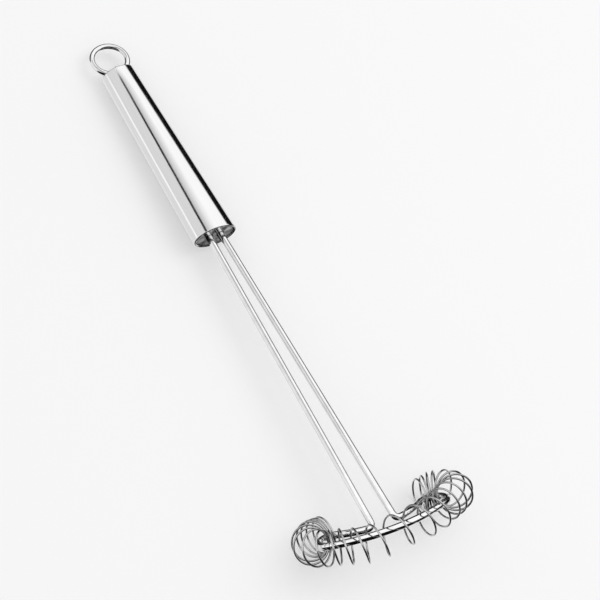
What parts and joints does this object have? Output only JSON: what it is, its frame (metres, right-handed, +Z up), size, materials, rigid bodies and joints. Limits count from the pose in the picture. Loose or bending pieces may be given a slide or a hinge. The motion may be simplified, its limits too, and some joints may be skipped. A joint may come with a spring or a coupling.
{
  "type": "coil whisk",
  "caption": "All-steel hand whisk: oval tapered handle with a swinging hanging ring, twin wire stems and a kidney-shaped head threaded through a loose wire coil.",
  "frame": {"origin": "middle of the footprint, on the surface that the whisk lies on", "axes": "+X from the hanging ring towards the head, +Y across the head, +Z up"},
  "size_m": [0.2922, 0.0841, 0.0357],
  "materials": {
    "brushed_stainless": "satin, brushed lengthwise",
    "polished_stainless": "polished",
    "drawn_steel_wire": "bright drawn wire",
    "spring_steel": "bright spring wire",
    "weld_steel": "as welded"
  },
  "bodies": {
    "whisk": {"handle_tube": "brushed_stainless", "stem_end_cap": "polished_stainless", "ring_end_cap": "polished_stainless", "ring_staple": "drawn_steel_wire", "whisk_frame": "drawn_steel_wire", "coil_spring": "spring_steel", "stem_weld_left": "weld_steel", "stem_weld_right": "weld_steel"},
    "ring": {"hanging_ring": "drawn_steel_wire"}
  },
  "joints": [
    {"name": "ring_swing", "type": "hinge", "parent": "whisk", "child": "ring", "pos_m": [-0.12839, 0, 0.00626], "axis": [0, 1, 0], "range_deg": [-60, 60]}
  ]
}
